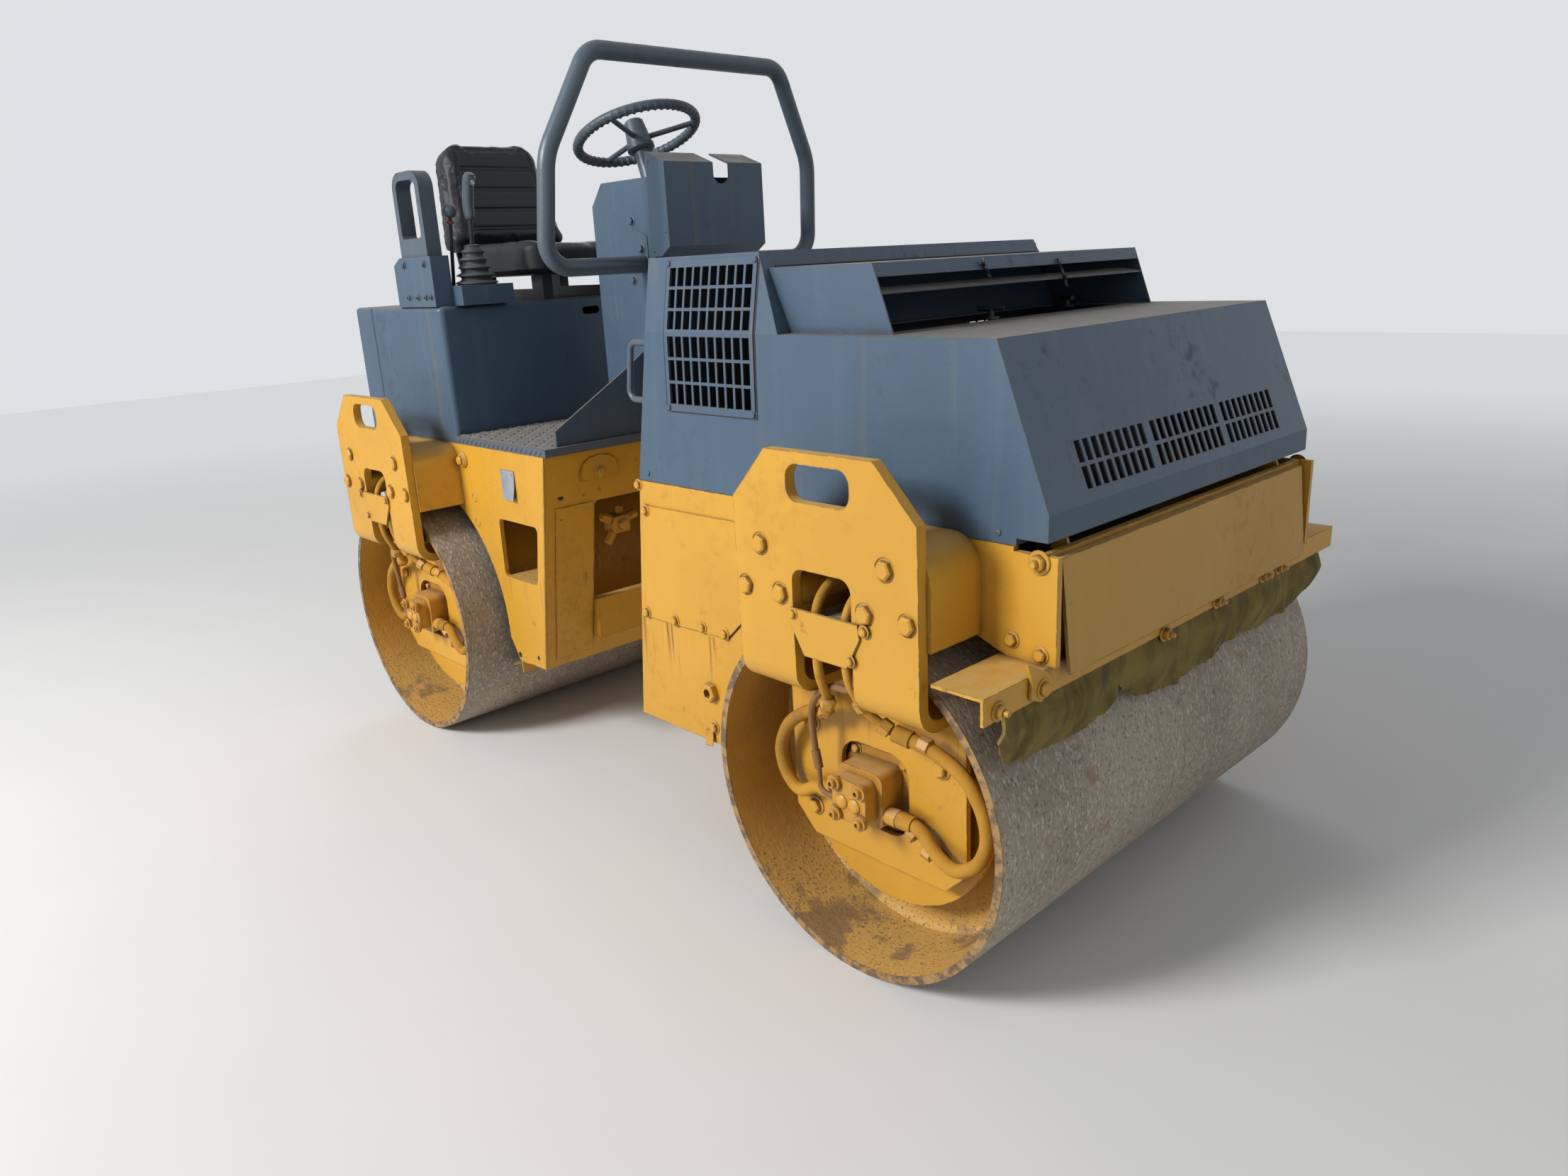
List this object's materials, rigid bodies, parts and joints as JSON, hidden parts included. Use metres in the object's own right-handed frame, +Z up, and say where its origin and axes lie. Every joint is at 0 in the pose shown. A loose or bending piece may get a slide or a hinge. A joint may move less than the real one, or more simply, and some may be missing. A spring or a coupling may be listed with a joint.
{
  "type": "articulated tandem road roller",
  "caption": "Small articulated tandem road roller with smooth steel drums, tilting engine hood, open driver's seat, handrail and central pivot steering.",
  "frame": {"origin": "on the ground under the articulation pin, half way between the two drum axles and on the machine's centre plane", "axes": "+X to the engine end, +Y to the driver's left, +Z up"},
  "size_m": [2.54, 1.32, 1.824],
  "materials": {
    "drum_steel": "worn, dusty",
    "frame_yellow": "satin overspray",
    "motor_yellow": "satin overspray on castings",
    "hose_overspray": "matt overspray",
    "belt_rubber": "torn, oversprayed",
    "engine_iron": "dull",
    "panel_slate": "satin, dusty",
    "grille_slate": "satin",
    "rail_slate": "satin, worn",
    "wheel_plastic": "worn",
    "deck_slate": "dusty",
    "lever_black": "matt",
    "seat_steel": "dull",
    "seat_vinyl": "satin vinyl",
    "ram_paint": "satin",
    "ram_chrome": "bright"
  },
  "bodies": {
    "front_module": {"front_frame": "frame_yellow", "pivot_lugs": "frame_yellow", "front_right_fork": "frame_yellow", "front_left_fork": "frame_yellow", "front_mountings": "frame_yellow", "front_carriers": "frame_yellow", "front_motors": "motor_yellow", "front_hoses": "hose_overspray", "front_fascia": "frame_yellow", "front_scraper_bars": "frame_yellow", "front_scraper_belts": "belt_rubber", "engine_block": "engine_iron"},
    "front_drum": {"front_drum": "drum_steel"},
    "hood": {"hood_shell": "panel_slate", "hood_grilles": "grille_slate", "louvre_box": "panel_slate", "hood_handle": "rail_slate", "hood_hinges": "rail_slate"},
    "rear_module": {"rear_frame": "frame_yellow", "pivot_block": "frame_yellow", "deck_plate": "deck_slate", "kick_plates": "panel_slate", "console": "panel_slate", "console_cover": "panel_slate", "handrail": "rail_slate", "steering_column": "rail_slate", "tank": "panel_slate", "lever_console": "panel_slate", "grab_loop": "rail_slate", "control_levers": "lever_black", "seat_frame": "seat_steel", "seat_cushion": "seat_vinyl", "seat_back": "seat_vinyl", "rear_right_fork": "frame_yellow", "rear_left_fork": "frame_yellow", "rear_mountings": "frame_yellow", "rear_carriers": "frame_yellow", "rear_motors": "motor_yellow", "rear_hoses": "hose_overspray", "rear_scraper_bars": "frame_yellow", "rear_scraper_belts": "belt_rubber"},
    "rear_drum": {"rear_drum": "drum_steel"},
    "steering_wheel": {"steering_wheel": "wheel_plastic"},
    "ram_barrel": {"ram_barrel": "ram_paint"},
    "ram_rod": {"ram_rod": "ram_chrome"}
  },
  "joints": [
    {"name": "articulation", "type": "hinge", "parent": "front_module", "child": "rear_module", "pos_m": [0, 0, 0.4], "axis": [0, 0, 1], "range_deg": [-32, 32]},
    {"name": "front_drum_spin", "type": "hinge", "parent": "front_module", "child": "front_drum", "pos_m": [0.895, 0, 0.35], "axis": [0, 1, 0], "continuous": true},
    {"name": "rear_drum_spin", "type": "hinge", "parent": "rear_module", "child": "rear_drum", "pos_m": [-0.895, 0, 0.35], "axis": [0, 1, 0], "continuous": true},
    {"name": "hood_tilt", "type": "hinge", "parent": "front_module", "child": "hood", "pos_m": [1.225, 0, 0.884], "axis": [0, 1, 0], "range_deg": [0, 50]},
    {"name": "steering_wheel_turn", "type": "hinge", "parent": "rear_module", "child": "steering_wheel", "pos_m": [-0.372, 0, 1.655], "axis": [-0.342, 0, 0.9397], "continuous": true},
    {"name": "ram_swing", "type": "hinge", "parent": "rear_module", "child": "ram_barrel", "pos_m": [-0.48, 0.12, 0.52], "axis": [0, 0, 1], "range_deg": [-8, 8]},
    {"name": "ram_slide", "type": "slide", "parent": "ram_barrel", "child": "ram_rod", "axis": [1, 0, 0], "range_m": [-0.085, 0.085]}
  ],
  "couplings": [
    {"joint": "ram_swing", "follows": "articulation", "ratio": -0.07018},
    {"joint": "ram_slide", "follows": "articulation", "m_per_rad": 0.11668}
  ]
}
